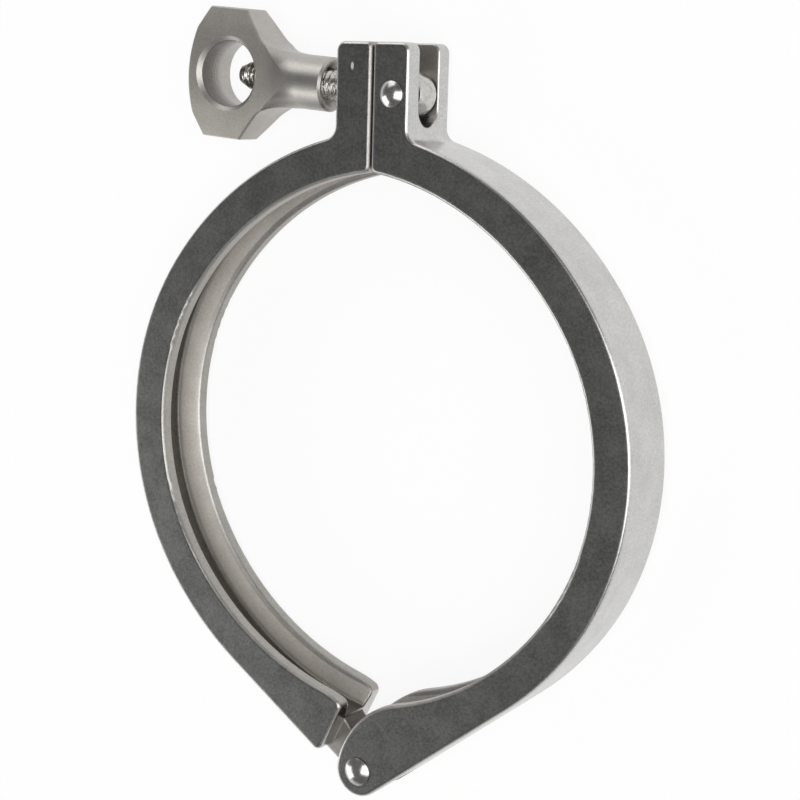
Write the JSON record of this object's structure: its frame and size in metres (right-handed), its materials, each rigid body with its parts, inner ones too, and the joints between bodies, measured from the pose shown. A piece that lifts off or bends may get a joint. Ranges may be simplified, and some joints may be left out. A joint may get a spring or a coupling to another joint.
{
  "type": "sanitary hinged clamp",
  "caption": "Hinged half rings with a V groove inside pull two sanitary ferrule flanges together; a swing bolt and wing nut draw the lugs shut.",
  "frame": {"origin": "centre of the clamp's bore, half way through its width", "axes": "+Z along the bore axis, up as the clamp lies flat; +Y from the hinge to the lugs; +X towards the half that carries the swing bolt"},
  "size_m": [0.127, 0.1721, 0.019],
  "materials": {
    "cast_steel": "investment-cast stainless steel, matte with polished edges",
    "rivet_steel": "closed stainless steel rivets, bright heads",
    "bolt_steel": "cast stainless eye bolt, satin, cut thread",
    "nut_steel": "investment-cast stainless steel, matte"
  },
  "bodies": {
    "right_ring": {"right_half": "cast_steel", "hinge_pin": "rivet_steel", "bolt_pin": "rivet_steel"},
    "left_ring": {"left_half": "cast_steel"},
    "bolt": {"swing_bolt": "bolt_steel"},
    "nut": {"wing_nut": "nut_steel"}
  },
  "joints": [
    {"name": "ring_hinge", "type": "hinge", "parent": "right_ring", "child": "left_ring", "pos_m": [0.0008, -0.0732, 0], "axis": [0, 0, 1], "range_deg": [0, 120]},
    {"name": "bolt_swing", "type": "hinge", "parent": "right_ring", "child": "bolt", "pos_m": [0.005, 0.0751, 0], "axis": [0, 0, -1], "range_deg": [-12, 190]},
    {"name": "nut_run", "type": "slide", "parent": "bolt", "child": "nut", "axis": [-0.9974, 0.0715, 0], "range_m": [0, 0.29322]}
  ],
  "couplings": [
    {"joint": "nut_run", "follows": "ring_hinge", "m_per_rad": 0.14}
  ]
}
